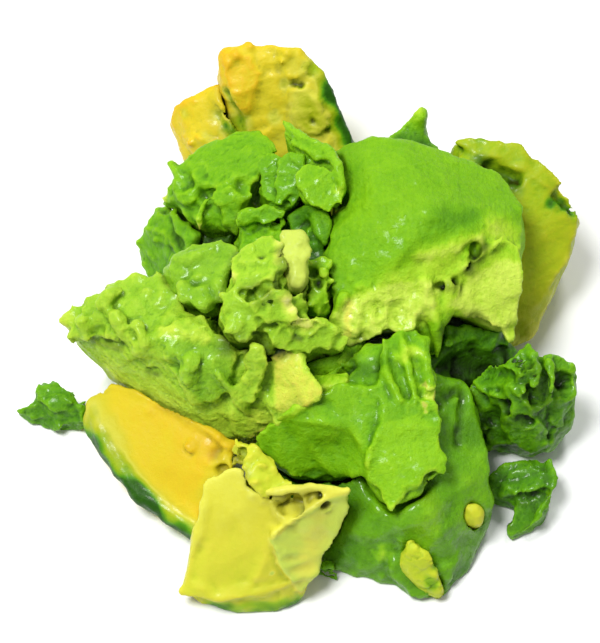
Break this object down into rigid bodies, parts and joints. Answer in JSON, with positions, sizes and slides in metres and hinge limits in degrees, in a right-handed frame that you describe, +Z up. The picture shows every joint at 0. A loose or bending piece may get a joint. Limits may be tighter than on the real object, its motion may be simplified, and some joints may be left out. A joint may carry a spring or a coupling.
{
  "type": "crushed avocado",
  "caption": "Heap of crushed ripe avocado flesh: a domed skin-side piece, a broad mashed block, pit-side wedges, curds, folds and crumbs that cling together.",
  "frame": {"origin": "middle of the heap's outline, on the surface that it lies on", "axes": "+Z up, +X to the right and +Y to the back, with the pit-side wedge and the pale block at the front"},
  "size_m": [0.144, 0.1504, 0.0508],
  "materials": {
    "green_flesh": "wet, smooth, soft sheen",
    "mashed_flesh": "wet, smeared and lumpy",
    "curd_flesh": "moist, curdled",
    "pale_flesh": "smooth, buttery, soft sheen",
    "pit_side_flesh": "moist, mottled yellow"
  },
  "bodies": {
    "root": {"back_tip": "green_flesh", "back_wedge": "pit_side_flesh", "broad_block": "mashed_flesh", "crumpled_lump": "green_flesh", "curd_clump": "curd_flesh", "curled_flake": "green_flesh", "floor_scrap": "green_flesh", "folded_petal": "green_flesh", "front_slab": "green_flesh", "ledge_lump": "green_flesh", "left_lump": "green_flesh", "left_wedge": "pit_side_flesh", "mashed_lobe": "mashed_flesh", "middle_lump": "green_flesh", "pale_block": "pale_flesh", "pale_finger": "pale_flesh", "pale_flake": "pale_flesh", "pit_wedge": "pit_side_flesh", "ragged_flake": "green_flesh", "rear_shell": "pit_side_flesh", "side_crumb": "green_flesh", "side_fold": "green_flesh", "skin_dome": "green_flesh", "small_cube": "green_flesh", "smooth_mound": "green_flesh", "torn_strip": "pale_flesh", "under_lobe": "green_flesh", "upper_lobe": "green_flesh", "yellow_crumb": "pale_flesh"}
  },
  "joints": []
}
